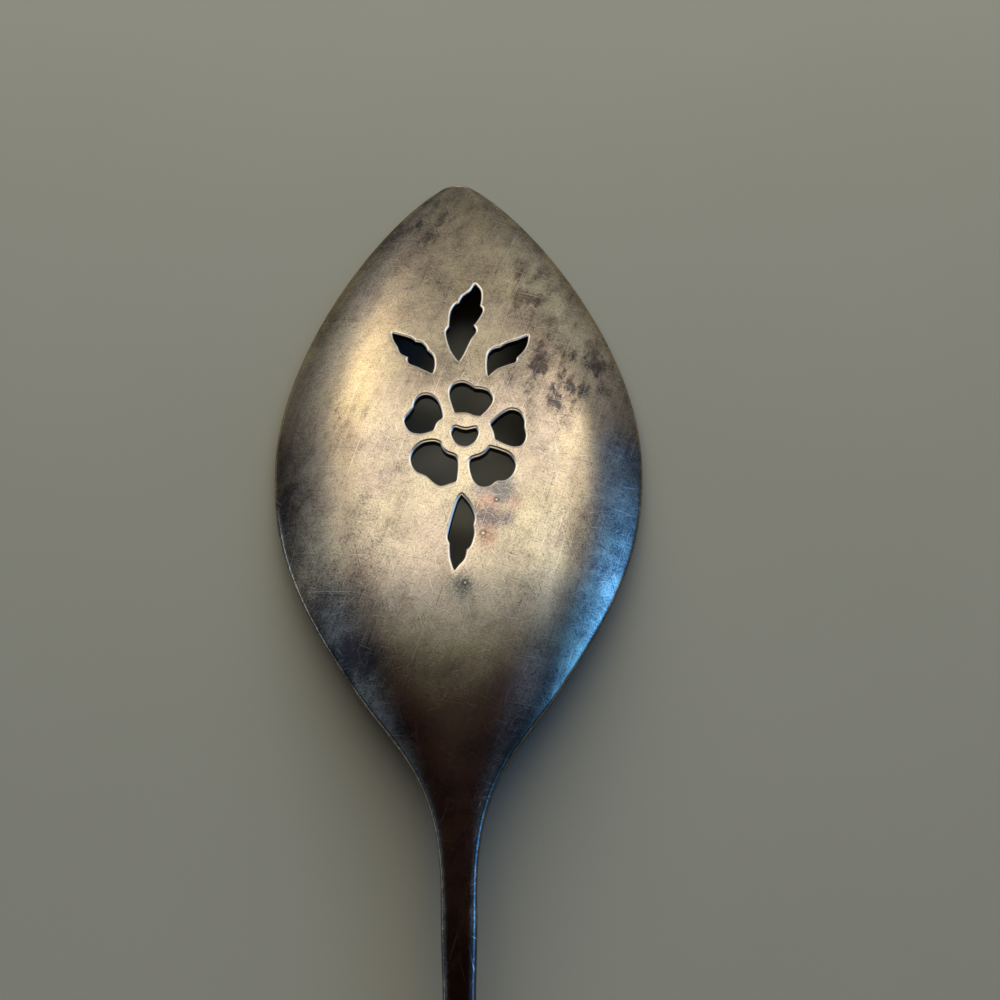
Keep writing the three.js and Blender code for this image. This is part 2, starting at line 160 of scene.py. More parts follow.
PETAL_CUTS = [
    [
        [(-1.5, 3.7), (0.3, 3.7), (1.5, 3.2)],
        [
            (2.3, 3.1), (3.5, 4.4), (4.2, 5.9), (3.6, 7.3), (2.5, 7.8), (1.6, 7.9), (0.9, 8.4),
            (-0.2, 9), (-1.4, 8.8), (-2.2, 7.8), (-2.2, 6.2),
        ],
    ],
    [
        [
            (4, 1.5), (5.4, 3), (7, 4), (8.4, 3.6), (9, 2.2), (9, 1), (9.2, -0.5), (8.7, -1.8),
            (7.6, -2.2), (6.2, -1.8),
        ],
        [(4.7, -1), (4.5, 0.2)],
    ],
    [
        [
            (3.8, -2.5), (5.3, -3), (6.8, -3.8), (7.5, -5.4), (7, -7), (5.9, -7.9), (4.7, -8),
            (3.6, -8.8), (2.3, -8.9), (1.3, -7.9), (0.8, -6), (0.9, -4.5), (2.3, -3.9), (3.2, -3.3),
        ],
    ],
    [
        [
            (-3.9, -1.7), (-4.9, -1.3), (-6.6, -1.6), (-7.9, -2.9), (-8.2, -4.5), (-7.5, -6.1),
            (-5.9, -7), (-4.8, -8.1), (-3.8, -8.7), (-2.6, -8.4),
        ],
        [(-1.5, -8), (-1.3, -5.8), (-1.5, -4.1), (-2.8, -3.4), (-3.5, -2.7)],
    ],
    [
        [
            (-5, 0.7), (-6.9, 0.2), (-8.5, 0.7), (-9.3, 2.4), (-8.6, 3.7), (-8, 4.6), (-7.7, 5.8),
            (-6.8, 6.8), (-5.5, 6.8), (-4.4, 5.8), (-3.8, 4.2),
        ],
        [(-3.6, 2.8), (-4.5, 2)],
    ],
]
EYE_CUT = [
    [(-1.5, 1.1), (0, 0.6)],
    [(1.6, 0.9), (1.9, 0), (1.3, -1.4), (0, -2.1), (-1.3, -1.6), (-2, -0.1), (-1.8, 0.8)],
]
flower_centre = Vector((FLOWER_OFFSET, TIP_Y - FLOWER_FROM_TIP))


def in_flower(point):
    """A point of the piercing in the plan of the blade."""
    return flower_centre + MM * Vector(point)


def cut_loop(runs):
    """The loop of a cut, smooth within each run and sharp where two runs meet."""
    loop = []
    for run, following in zip(runs, runs[1:] + runs[:1]):
        knots = [in_flower(point) for point in [*run, following[0]]]
        beside = zip(knots[:1] + knots, knots[1:] + knots[-1:])
        pulls = [(after - before) / KNOT_PULL_DIVISOR for before, after in beside]
        for place in range(len(run)):
            start, end = knots[place], knots[place + 1]
            stretch = [start, start + pulls[place], end - pulls[place + 1], end]
            loop += curve_points(stretch, PIERCING_STEP)
    return loop


piercing_loops = [cut_loop(runs) for runs in [*LEAF_CUTS, *PETAL_CUTS, EYE_CUT]]

# The blank lies flat: its cut edges, rows that will round those edges, and points over the sheet.
EDGE_ROUND = 0.5 * MM
EDGE_SQUARENESS = 4
EDGE_TURNS = (16, 32, 50, 70, 90)
EDGE_CLEARANCE = 0.85
SHEET_STEP = 0.75 * MM
SHEET_CLEARANCE = EDGE_ROUND + 0.25 * MM
FEWEST_ACROSS = 9
END_ROW_STEPS = 12
END_ROW_DEPTH = 0.03 * MM
END_ROW_REACH = 0.97
LEAST_WIDTH = 0.001 * MM
CDT_INSIDE = 1
CDT_TOLERANCE = 1e-5


def turning(loop):
    """Twice the signed area of a loop, positive when it runs anticlockwise."""
    return sum(a.x * b.y - b.x * a.y for a, b in zip(loop, loop[1:] + loop[:1]))


def is_inside(point, loop):
    """Whether a point of the plan lies inside a loop."""
    inside = False
    for a, b in zip(loop, loop[1:] + loop[:1]):
        if (a.y > point.y) != (b.y > point.y):
            crossing = a.x + (b.x - a.x) * (point.y - a.y) / (b.y - a.y)
            inside ^= point.x < crossing
    return inside


right_rim = [Vector((point.y, TIP_Y - point.x)) for point in half_outline]
left_rim = [Vector((-point.x, point.y)) for point in right_rim[1:]]
end_y = right_rim[-1].y
end_row = []
for step in range(1, END_ROW_STEPS):
    share = math.cos(math.pi * step / END_ROW_STEPS)
    end_row.append(Vector((share * BOLSTER_WIDTH / 2, end_y)))
outer_loop = right_rim + end_row + left_rim[::-1]
if turning(outer_loop) < 0:
    outer_loop.reverse()
inner_loops = [loop if turning(loop) < 0 else loop[::-1] for loop in piercing_loops]

cut_points = kdtree.KDTree(len(outer_loop) + sum(len(loop) for loop in inner_loops))
rim_points = kdtree.KDTree(len(outer_loop))
blank_points = []
blank_cuts = []
cut_distances = []
loop_of_point = []
for index, loop in enumerate([outer_loop] + inner_loops):
    first = len(blank_points)
    for place, point in enumerate(loop):
        following = first + (place + 1) % len(loop)
        blank_cuts.append((first + place, following))
        cut_points.insert(point.to_3d(), first + place)
        blank_points.append(point)
        cut_distances.append(0)
        loop_of_point.append(index)
for place, point in enumerate(outer_loop):
    rim_points.insert(point.to_3d(), place)
cut_points.balance()
rim_points.balance()


def to_cut(point):
    """Distance of a point of the plan from the nearest cut edge."""
    return cut_points.find(point.to_3d())[2]


def add_blank_point(point, distance):
    """Adds a point inside the sheet, with its distance from the cut edges."""
    blank_points.append(point)
    cut_distances.append(distance)
    loop_of_point.append(-1)


for loop in [outer_loop] + inner_loops:
    for before, point, after in zip(loop[-1:] + loop[:-1], loop, loop[1:] + loop[:1]):
        if point.y < end_y + END_ROW_DEPTH:
            continue
        way = (after - before).normalized()
        inwards = Vector((-way.y, way.x))
        for turn in EDGE_TURNS:
            distance = EDGE_ROUND * (1 - math.cos(math.radians(turn)) ** (2 / EDGE_SQUARENESS))
            spot = point + distance * inwards
            if to_cut(spot) > EDGE_CLEARANCE * distance and spot.y > end_y + END_ROW_DEPTH:
                add_blank_point(spot, distance)

row_count = round(BOLSTER_FROM_TIP / SHEET_STEP)
row_stations = [BOLSTER_FROM_TIP * (row + 0.5) / row_count for row in range(row_count)]
for row, from_tip in enumerate(row_stations + [BOLSTER_FROM_TIP - END_ROW_DEPTH]):
    half = half_width(from_tip)
    count = max(FEWEST_ACROSS, round(math.pi / 2 * half / SHEET_STEP))
    shift = 0.5 if row % 2 else 0
    for column in range(-count, count + 1):
        share = math.sin(math.pi / 2 * max(-1, min(1, (column + shift) / count)))
        spot = Vector((half * share, TIP_Y - from_tip))
        closing = from_tip > BOLSTER_FROM_TIP - SHEET_CLEARANCE
        distance = EDGE_ROUND if closing else to_cut(spot)
        clear = abs(share) < END_ROW_REACH if closing else distance > SHEET_CLEARANCE
        if clear and not any(is_inside(spot, loop) for loop in inner_loops):
            add_blank_point(spot, distance)

# Points and triangles of the flat sheet, worked out in millimetres.
flat_points = [point / MM for point in blank_points]
sheet = geometry.delaunay_2d_cdt(flat_points, blank_cuts, [], CDT_INSIDE, CDT_TOLERANCE)
sheet_points, sheet_faces, sheet_sources = sheet[0], sheet[2], sheet[3]
sheet_source = [sources[0] for sources in sheet_sources]
kept_faces = []
for face in sheet_faces:
    loops = {loop_of_point[sheet_source[corner]] for corner in face}
    cut_out = False
    if len(loops) == 1 and min(loops) > 0:
        middle = sum((sheet_points[corner] for corner in face), Vector((0, 0))) / 3 * MM
        cut_out = is_inside(middle, inner_loops[min(loops) - 1])
    if not cut_out:
        kept_faces.append(face)
blank = bpy.data.meshes.new("blade_blank")
blank.from_pydata([(point * MM).to_3d() for point in sheet_points], [], kept_faces)
across_shares = []
rim_distances = []
for point in sheet_points:
    spot = point * MM
    from_tip = TIP_Y - spot.y
    at_end = from_tip > BOLSTER_FROM_TIP - END_ROW_DEPTH / 2
    across_shares.append(1 if at_end else spot.x / max(half_width(from_tip), LEAST_WIDTH))
    rim_distances.append(rim_points.find(spot.to_3d())[2])
blank_values = {
    "across": across_shares,
    "cut_edge": [cut_distances[source] for source in sheet_source],
    "rim_edge": rim_distances,
}
for name, values in blank_values.items():
    blank.attributes.new(name, "FLOAT", "POINT").data.foreach_set("value", values)


def add_node(tree, kind, inputs=None, **settings):
    """Adds a node: its settings first, then its inputs, where a socket is linked and a value is set."""
    node = tree.nodes.new(kind)
    for name, value in settings.items():
        setattr(node, name, value)
    for key, value in (inputs or {}).items():
        if isinstance(value, bpy.types.NodeSocket):
            tree.links.new(value, node.inputs[key])
        else:
            node.inputs[key].default_value = value
    return node


def linear(colour):
    """The linear RGBA of an sRGB hex colour."""
    channels = [int(colour[start:start + 2], 16) / 255 for start in (1, 3, 5)]
    return [c / 12.92 if c <= 0.04045 else ((c + 0.055) / 1.055) ** 2.4 for c in channels] + [1]


# Worn silver plate on nickel silver: wiped thin over the years, so it is warm and cloudy, grained and
# crossed by hairline scratches, and browned in blotches. It is greyer towards the rim, partly tarnished
# and partly painted shade for the darker reflection of the sloping rim, and a broad brown patch over the
# heel and neck is a painted dark reflection. Beside the lower leaf it is worn through in patches with a
# few pits, the rounded cut edges are rubbed bright, and the walls of the piercing carry painted shade.
SILVER = "#d4c39d"
PINK_SILVER = "#cbb59a"
# The tarnishing colours also paint shade: the darker rim, the dark underside and the dark reflection on
# the neck.
BROWN_TARNISH_AND_SHADE = "#6b5b4b"
PURPLE_TARNISH_AND_SHADE = "#4e4747"
PIT_BROWN = "#2c2520"
RUBBED_SILVER = "#fdf0da"
# Painted shade: the dark brown of the walls of the piercing stands in for their dark reflection.
PAINTED_WALL_SHADE = "#2a221d"
BLADE_ROUGHNESS = 0.09
BLADE_WEAR = 1
TARNISH_ROUGHNESS = 0.06
EDGE_ROUGHNESS = 0.22
CLOUD_SIZE = 16 * MM
BLOTCH_SIZE = 2.4 * MM
BRUSH_ANGLE = math.radians(68)
BRUSH_STRETCH = 2.2
GRAIN_SIZE = 0.24 * MM
RIPPLE_SIZE = 9 * MM
NOISE_ROUGHNESS = 0.65
NOISE_MIDDLE = (0.5, 0.5, 0.5)
SCRATCH_WIDTH = 0.16 * MM
SCRATCH_STRENGTH = 0.42
PLAIN_BLOTCHING = 0.25
STAIN_DRIFT = 5 * MM
WORN_DRIFT = 3 * MM
# Width and strength of the darkening towards the rim: tarnishing, and painted shade for the rim's darker
# reflection.
RIM_TARNISH_AND_SHADE_WIDTH = 9 * MM
RIM_TARNISH_AND_SHADE_STRENGTH = 0.5
RUBBED_WIDTH = 0.46 * MM
# Width of the painted shade on the walls of the piercing.
PAINTED_WALL_SHADE_WIDTH = 0.05 * MM
# Heights of the bump, in millimetres.
RIPPLE_HEIGHT = 0.03
GRAIN_HEIGHT = 0.0012
SCRATCH_DEPTH = 0.002
# Noise at which each kind of mark starts and is full, and its full strength.
PLATE_MARKS = {"cloud": (0.42, 0.7, 0.44), "blotch": (0.43, 0.66, 0.74), "grain": (0.44, 0.68, 0.42)}
# Noise between which the stains, with the painted dark reflection on the neck, and the worn patches are
# broken up, and their faintest share.
STAIN_BREAKS = ("blotch", 0.36, 0.66, 0.35)
WORN_BREAKS = ("grain", 0.32, 0.6, 0.3)
# Noise at which a scratch and a tint start and are full.
DARK_SCRATCH = (0.65, 0.8)
LIGHT_SCRATCH = (0.31, 0.2)
TINT = (0.4, 0.6)
# Direction in degrees and length of each family of scratches.
SCRATCHES = [
    (12, 4 * MM),
    (38, 2.5 * MM),
    (64, 3 * MM),
    (72, 11 * MM),
    (103, 5 * MM),
    (128, 2.5 * MM),
    (158, 3 * MM),
    (171, 9 * MM),
]
# Place across and from the tip, and radius, in millimetres, and strength of the blotched flanks, the
# stains and a painted dark reflection on the heel and neck, the pits and the blisters in the pits.
FLANKS = [
    (18, 40, 16, 1.25),
    (13, 25, 14, 0.9),
    (-2, 9, 14, 0.8),
    (-18, 49, 11, 0.7),
    (-24, 62, 10, 0.5),
    (12, 80, 14, 0.4),
]
STAINS_AND_NECK_SHADE = [
    (13.4, 38.5, 3, 1),
    (22, 38, 4, 0.9),
    (17.5, 44.5, 5, 0.8),
    (-5, 12, 6, 0.25),
    (-14, 88, 7, 0.7),
    # Painted dark reflection: this broad brown patch darkens the heel and neck where they mirror a dark
    # room.
    (0, 130, 28, 0.8),
]
PITS = [(5.96, 63, 0.8, 1.1), (3.87, 68.45, 0.8, 1), (1.15, 76.25, 0.8, 1.1), (13.2, 38.2, 0.9, 0.5)]
BLISTERS = [(5.96, 63, 0.32, 0.55), (3.87, 68.45, 0.38, 0.7), (1.15, 76.25, 0.32, 0.55)]
# The same for the patches where the plate is worn through, each with its colour.
WORN = [
    (4, 61.3, 2.6, 1.1, "#8a8680"),
    (6.9, 61.6, 3.6, 1.7, "#757370"),
    (4.4, 63.5, 2.5, 1.4, "#c49a85"),
    (8.6, 63.3, 2.3, 1.1, "#ba9683"),
    (4.4, 65.9, 3.4, 1.7, "#746764"),
    (7.3, 65.9, 2.6, 1.5, "#746664"),
    (4.2, 69.2, 3, 1.1, "#a88169"),
    (0.7, 76.8, 3.1, 1.5, "#6d6b60"),
]


def silver_plate(name, roughness, wear, spots, edges):
    """The plate's material: wear scales its marks, and edges says that the piece knows its cut edges."""
    material = bpy.data.materials.new(name)
    material.use_nodes = True
    tree = material.node_tree
    tree.nodes.clear()
    place = add_node(tree, "ShaderNodeTexCoord").outputs["Object"]
    brushed = add_node(
        tree,
        "ShaderNodeMapping",
        {"Vector": place, "Rotation": (0, 0, BRUSH_ANGLE), "Scale": (BRUSH_STRETCH, 1, 1)},
        vector_type="TEXTURE",
    ).outputs[0]

    # The patterns, and the marks that they make.
    noises = {}
    for kind, ground, size, detail in [
        ("cloud", place, CLOUD_SIZE, 6),
        ("blotch", brushed, BLOTCH_SIZE, 6),
        ("grain", place, GRAIN_SIZE, 3),
        ("ripple", place, RIPPLE_SIZE, 1),
    ]:
        noises[kind] = add_node(
            tree,
            "ShaderNodeTexNoise",
            {"Vector": ground, "Scale": 1 / size, "Detail": detail, "Roughness": NOISE_ROUGHNESS},
        ).outputs
    marks = {}
    for kind, (start, full, most) in PLATE_MARKS.items():
        marks[kind] = add_node(
            tree,
            "ShaderNodeMapRange",
            {"Value": noises[kind]["Fac"], "From Min": start, "From Max": full, "To Max": most * wear},
            interpolation_type="SMOOTHSTEP",
        ).outputs[0]
    tarnish_and_shade = add_node(
        tree, "ShaderNodeMath", {0: marks["cloud"], 1: marks["grain"]}, operation="ADD"
    ).outputs[0]

    # The spots, which drift with the blotches so that their edges are ragged.
    drift = add_node(
        tree,
        "ShaderNodeVectorMath",
        {0: noises["blotch"]["Color"], 1: NOISE_MIDDLE},
        operation="SUBTRACT",
    ).outputs[0]
    spot_shares = {}
    for group, reach in [
        ("flanks", STAIN_DRIFT),
        ("stains_and_neck_shade", STAIN_DRIFT),
        ("worn", WORN_DRIFT),
        ("pits", 0),
        ("blisters", 0),
    ]:
        ground = add_node(
            tree,
            "ShaderNodeVectorMath",
            {0: drift, 1: (reach, reach, 0), 2: place},
            operation="MULTIPLY_ADD",
        ).outputs[0]
        flat = add_node(
            tree, "ShaderNodeVectorMath", {0: ground, 1: (1, 1, 0)}, operation="MULTIPLY"
        ).outputs[0]
        spot_shares[group] = []
        for x, from_tip, radius, strength, *_ in spots.get(group, []):
            centre = (x * MM, TIP_Y - from_tip * MM, 0)
            away = add_node(
                tree, "ShaderNodeVectorMath", {0: flat, 1: centre}, operation="DISTANCE"
            ).outputs["Value"]
            spot = add_node(
                tree,
                "ShaderNodeMapRange",
                {"Value": away, "From Max": radius * MM, "To Min": strength, "To Max": 0},
                interpolation_type="SMOOTHSTEP",
            ).outputs[0]
            spot_shares[group].append(spot)
    blotched = PLAIN_BLOTCHING
    for spot in spot_shares["flanks"]:
        blotched = add_node(
            tree, "ShaderNodeMath", {0: blotched, 1: spot}, operation="MAXIMUM"
        ).outputs[0]
    tarnish_and_shade = add_node(
        tree, "ShaderNodeMath", {0: marks["blotch"], 1: blotched, 2: tarnish_and_shade}, operation="MULTIPLY_ADD"
    ).outputs[0]
    breaks = []
    for kind, start, full, faintest in [STAIN_BREAKS, WORN_BREAKS]:
        broken = add_node(
            tree,
            "ShaderNodeMapRange",
            {"Value": noises[kind]["Fac"], "From Min": start, "From Max": full, "To Min": faintest},
        )
        breaks.append(broken.outputs[0])
    for spot in spot_shares["stains_and_neck_shade"]:
        tarnish_and_shade = add_node(
            tree, "ShaderNodeMath", {0: spot, 1: breaks[0], 2: tarnish_and_shade}, operation="MULTIPLY_ADD"
        ).outputs[0]
    worn_layers = []
    for spot, patch in zip(spot_shares["worn"], spots.get("worn", [])):
        share = add_node(
            tree, "ShaderNodeMath", {0: spot, 1: breaks[1]}, operation="MULTIPLY"
        ).outputs[0]
        worn_layers.append((share, linear(patch[-1])))

    # The scratches: each family is noise stretched along its direction.
    dark_scratch = 0
    light_scratch = 0
    for angle, length in SCRATCHES:
        stretched = add_node(
            tree,
            "ShaderNodeMapping",
            {
                "Vector": place,
                "Rotation": (0, 0, math.radians(angle)),
                "Scale": (length, SCRATCH_WIDTH, length),
            },
            vector_type="TEXTURE",
        ).outputs[0]
        lines = add_node(
            tree, "ShaderNodeTexNoise", {"Vector": stretched, "Scale": 1, "Detail": 1}
        ).outputs["Fac"]
        scratches = []
        for (start, full), so_far in [(DARK_SCRATCH, dark_scratch), (LIGHT_SCRATCH, light_scratch)]:
            line = add_node(
                tree,
                "ShaderNodeMapRange",
                {"Value": lines, "From Min": start, "From Max": full, "To Max": SCRATCH_STRENGTH * wear},
            ).outputs[0]
            scratch = add_node(tree, "ShaderNodeMath", {0: so_far, 1: line}, operation="MAXIMUM")
            scratches.append(scratch.outputs[0])
        dark_scratch, light_scratch = scratches
    tarnish_and_shade = add_node(
        tree, "ShaderNodeMath", {0: tarnish_and_shade, 1: dark_scratch}, operation="ADD"
    ).outputs[0]

    # The rim, greyed by tarnishing and by painted shade for its darker reflection; the dull underside,
    # tarnished dark, which also deepens the shade under the blade; the rubbed cut edges; and painted
    # shade on the walls of the piercing.
    rubbed = 0
    wall = 0
    if edges:
        rim = add_node(tree, "ShaderNodeAttribute", attribute_name="rim_edge").outputs["Fac"]
        back = add_node(tree, "ShaderNodeAttribute", attribute_name="back").outputs["Fac"]
        cut = add_node(tree, "ShaderNodeAttribute", attribute_name="cut_edge").outputs["Fac"]
        # Painted shade: the metal darkens towards the outer rim, for its darker reflection there,
        # besides tarnishing.
        rim_tarnish_and_shade = add_node(
            tree,
            "ShaderNodeMapRange",
            {"Value": rim, "From Max": RIM_TARNISH_AND_SHADE_WIDTH, "To Min": RIM_TARNISH_AND_SHADE_STRENGTH, "To Max": 0},
            interpolation_type="SMOOTHSTEP",
        ).outputs[0]
        tarnish_and_shade = add_node(
            tree,
            "ShaderNodeMath",
            {0: rim_tarnish_and_shade, 1: noises["cloud"]["Fac"], 2: tarnish_and_shade},
            operation="MULTIPLY_ADD",
        ).outputs[0]
        # The underside is tarnished fully dark, which also deepens the shade under the blade.
        tarnish_and_shade = add_node(tree, "ShaderNodeMath", {0: tarnish_and_shade, 1: back}, operation="ADD").outputs[0]
        # Painted shade: the walls of the piercing are coloured dark brown for their dark reflection.
        rubbed, wall = [
            add_node(
                tree,
                "ShaderNodeMapRange",
                {"Value": cut, "From Min": width / 2, "From Max": width, "To Min": 1, "To Max": 0},
            ).outputs[0]
            for width in (RUBBED_WIDTH, PAINTED_WALL_SHADE_WIDTH)
        ]
        inside = add_node(
            tree,
            "ShaderNodeMapRange",
            {"Value": rim, "From Min": RUBBED_WIDTH, "From Max": 2 * RUBBED_WIDTH},
        ).outputs[0]
        rubbed = add_node(
            tree, "ShaderNodeMath", {0: rubbed, 1: inside}, operation="MULTIPLY"
        ).outputs[0]
    tarnish_and_shade = add_node(tree, "ShaderNodeClamp", {"Value": tarnish_and_shade}).outputs[0]

    # The colour in layers, the roughness and the bump.
    tints = add_node(tree, "ShaderNodeSeparateColor", {"Color": noises["cloud"]["Color"]}).outputs
    purple, pink = [
        add_node(
            tree,
            "ShaderNodeMapRange",
            {"Value": tints[channel], "From Min": TINT[0], "From Max": TINT[1]},
        ).outputs[0]
        for channel in ("Green", "Blue")
    ]
    # This colour also paints the shade at the rim, under the blade and on the neck.
    tarnish_and_shade_colour = add_node(
        tree,
        "ShaderNodeMix",
        {"Factor": purple, 6: linear(BROWN_TARNISH_AND_SHADE), 7: linear(PURPLE_TARNISH_AND_SHADE)},
        data_type="RGBA",
    ).outputs[2]
    colour = linear(SILVER)
    for share, over in [
        (pink, linear(PINK_SILVER)),
        *worn_layers,
        (tarnish_and_shade, tarnish_and_shade_colour),
        (light_scratch, linear(RUBBED_SILVER)),
        (rubbed, linear(RUBBED_SILVER)),
        # painted shade on the walls of the piercing
        (wall, linear(PAINTED_WALL_SHADE)),
        *[(spot, linear(PIT_BROWN)) for spot in spot_shares["pits"]],
        *[(spot, linear(RUBBED_SILVER)) for spot in spot_shares["blisters"]],
    ]:
        colour = add_node(
            tree, "ShaderNodeMix", {"Factor": share, 6: colour, 7: over}, data_type="RGBA"
        ).outputs[2]
    dull = add_node(
        tree,
        "ShaderNodeMapRange",
        {"Value": tarnish_and_shade, "To Min": roughness, "To Max": roughness + TARNISH_ROUGHNESS},
    ).outputs[0]
    dull = add_node(
        tree, "ShaderNodeMath", {0: rubbed, 1: EDGE_ROUGHNESS, 2: dull}, operation="MULTIPLY_ADD"
    ).outputs[0]
    height = 0
    for mark, depth in [
        (noises["ripple"]["Fac"], RIPPLE_HEIGHT),
        (noises["grain"]["Fac"], GRAIN_HEIGHT),
        (dark_scratch, -SCRATCH_DEPTH),
        (light_scratch, -SCRATCH_DEPTH),
    ]:
        height = add_node(
            tree, "ShaderNodeMath", {0: mark, 1: depth * wear, 2: height}, operation="MULTIPLY_ADD"
        ).outputs[0]
    bump = add_node(tree, "ShaderNodeBump", {"Height": height, "Distance": MM, "Strength": 1})
    shader = add_node(
        tree,
        "ShaderNodeBsdfPrincipled",
        {"Base Color": colour, "Metallic": 1, "Roughness": dull, "Normal": bump.outputs[0]},
    )
    add_node(tree, "ShaderNodeOutputMaterial", {"Surface": shader.outputs[0]})
    return material


blade_spots = {"flanks": FLANKS, "stains_and_neck_shade": STAINS_AND_NECK_SHADE, "worn": WORN, "pits": PITS, "blisters": BLISTERS}
blade_plate = silver_plate("worn_silver_plate_and_painted_shade", BLADE_ROUGHNESS, BLADE_WEAR, blade_spots, True)

# Striking the dome: the flat blank takes its crown, its thickness and its rounded edges by rule, and
# its heel is drawn up and thickened into the bar of the shank.
CROWN_THICKNESS = 1.8 * MM
RIM_THICKNESS = 1.2 * MM
SHANK_THICKNESS = 3.8 * MM
BOLSTER_THICKNESS = 6 * MM
DOME_SQUARENESS = 3
CROWN_START = 53 * MM
CROWN_END = 70 * MM
RIM_END = 104 * MM
CROWN_HEIGHT = 7.6 * MM
RIM_HEIGHT = 0.6 * MM
TIP_CURL = 2
SHANK_SQUARENESS = 5
BAR_START = 107 * MM
BAR_END = 126 * MM
HANDLE_HEIGHT = 5.4 * MM
MERGE_GAP = 0.001 * MM
front_shell_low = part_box("handle_front_shell")[0]
back_shell_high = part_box("handle_back_shell")[1]
seam_run = back_shell_high - front_shell_low
HANDLE_SLOPE = math.atan2(seam_run.z, seam_run.y)
strike_sizes = {
    "Tip": TIP_Y,
    "Crown start": CROWN_START,
    "Crown end": CROWN_END,
    "Widest": WIDEST_FROM_TIP,
    "Rim end": RIM_END,
    "Bar start": BAR_START,
    "Bar end": BAR_END,
    "Neck": NECK_FROM_TIP,
    "Shank": SHANK_FROM_TIP,
    "Bolster": BOLSTER_FROM_TIP,
    "Crown height": CROWN_HEIGHT,
    "Rim height": RIM_HEIGHT,
    "Bolster height": HANDLE_HEIGHT,
    "Height over the tip": HANDLE_HEIGHT + BOLSTER_FROM_TIP * math.tan(HANDLE_SLOPE),
    "Tip curl": TIP_CURL,
    "Dome squareness": DOME_SQUARENESS,
    "Crown thickness": CROWN_THICKNESS,
    "Rim thickness": RIM_THICKNESS,
    "Shank thickness": SHANK_THICKNESS,
    "Bolster thickness": BOLSTER_THICKNESS,
    "Edge round": EDGE_ROUND,
    "Edge squareness": EDGE_SQUARENESS,
    "Shank squareness": SHANK_SQUARENESS,
}
strike = bpy.data.node_groups.new("strike_the_dome", "GeometryNodeTree")
strike.is_modifier = True
strike.interface.new_socket("Blank", in_out="INPUT", socket_type="NodeSocketGeometry")
size_sockets = {}
for name in strike_sizes:
    size_sockets[name] = strike.interface.new_socket(name, in_out="INPUT", socket_type="NodeSocketFloat")
strike.interface.new_socket("Blade", in_out="OUTPUT", socket_type="NodeSocketGeometry")
given = add_node(strike, "NodeGroupInput").outputs
flat_place = add_node(strike, "GeometryNodeInputPosition").outputs[0]
flat_place = add_node(strike, "ShaderNodeSeparateXYZ", {0: flat_place}).outputs
from_tip = add_node(
    strike, "ShaderNodeMath", {0: given["Tip"], 1: flat_place["Y"]}, operation="SUBTRACT"
).outputs[0]
across = add_node(strike, "GeometryNodeInputNamedAttribute", {"Name": "across"}).outputs[0]
across = add_node(strike, "ShaderNodeMath", {0: across}, operation="ABSOLUTE").outputs[0]
cut_edge = add_node(strike, "GeometryNodeInputNamedAttribute", {"Name": "cut_edge"}).outputs[0]
shares = {}
for name, start, end in [
    ("to neck", "Crown end", "Neck"),
    ("rim to neck", "Widest", "Rim end"),
    ("to bar", "Bar start", "Bar end"),
    ("to bolster", "Shank", "Bolster"),
]:
    shares[name] = add_node(
        strike,
        "ShaderNodeMapRange",
        {"Value": from_tip, "From Min": given[start], "From Max": given[end]},
        interpolation_type="SMOOTHSTEP",
    ).outputs[0]
near_tip = add_node(
    strike,
    "ShaderNodeMapRange",
    {"Value": from_tip, "From Min": 0, "From Max": given["Crown start"], "To Min": 1, "To Max": 0},
).outputs[0]
tip_fall = add_node(
    strike, "ShaderNodeMath", {0: near_tip, 1: given["Tip curl"]}, operation="POWER"
).outputs[0]
shank_line = add_node(
    strike,
    "ShaderNodeMapRange",
    {
        "Value": from_tip,
        "From Min": 0,
        "From Max": given["Bolster"],
        "To Min": given["Height over the tip"],
        "To Max": given["Bolster height"],
    },
).outputs[0]
bend = add_node(
    strike, "ShaderNodeMath", {0: across, 1: given["Dome squareness"]}, operation="POWER"
).outputs[0]
blends = {}
for name, share, a, b in [
    ("crown", tip_fall, given["Crown height"], given["Rim height"]),
    ("centre", shares["to neck"], "crown", shank_line),
    ("rim", shares["rim to neck"], given["Rim height"], shank_line),
    ("dome", bend, "centre", "rim"),
    ("sheet", tip_fall, given["Crown thickness"], given["Rim thickness"]),
    ("bar", shares["to neck"], "sheet", given["Shank thickness"]),
    ("middle", shares["to bolster"], "bar", given["Bolster thickness"]),
    ("edge", shares["to neck"], given["Rim thickness"], "middle"),
    ("thickness", bend, "middle", "edge"),
]:
    ends = [blends[value] if isinstance(value, str) else value for value in (a, b)]
    blends[name] = add_node(
        strike, "ShaderNodeMix", {0: share, 2: ends[0], 3: ends[1]}, data_type="FLOAT"
    ).outputs[0]
edge_share = add_node(
    strike,
    "ShaderNodeMapRange",
    {"Value": cut_edge, "From Max": given["Edge round"], "To Min": 1, "To Max": 0},
).outputs[0]
rounds = []
for share, squareness in [(edge_share, given["Edge squareness"]), (across, given["Shank squareness"])]:
    power = add_node(strike, "ShaderNodeMath", {0: share, 1: squareness}, operation="POWER").outputs[0]
    rest = add_node(
        strike, "ShaderNodeMath", {0: 1, 1: power}, operation="SUBTRACT", use_clamp=True
    ).outputs[0]
    root = add_node(strike, "ShaderNodeMath", {0: 1, 1: squareness}, operation="DIVIDE").outputs[0]
    rounds.append(add_node(strike, "ShaderNodeMath", {0: rest, 1: root}, operation="POWER").outputs[0])
roundness = add_node(
    strike, "ShaderNodeMix", {0: shares["to bar"], 2: rounds[0], 3: rounds[1]}, data_type="FLOAT"
).outputs[0]
full = add_node(
    strike, "ShaderNodeMath", {0: blends["thickness"], 1: roundness}, operation="MULTIPLY"
).outputs[0]
faces = []
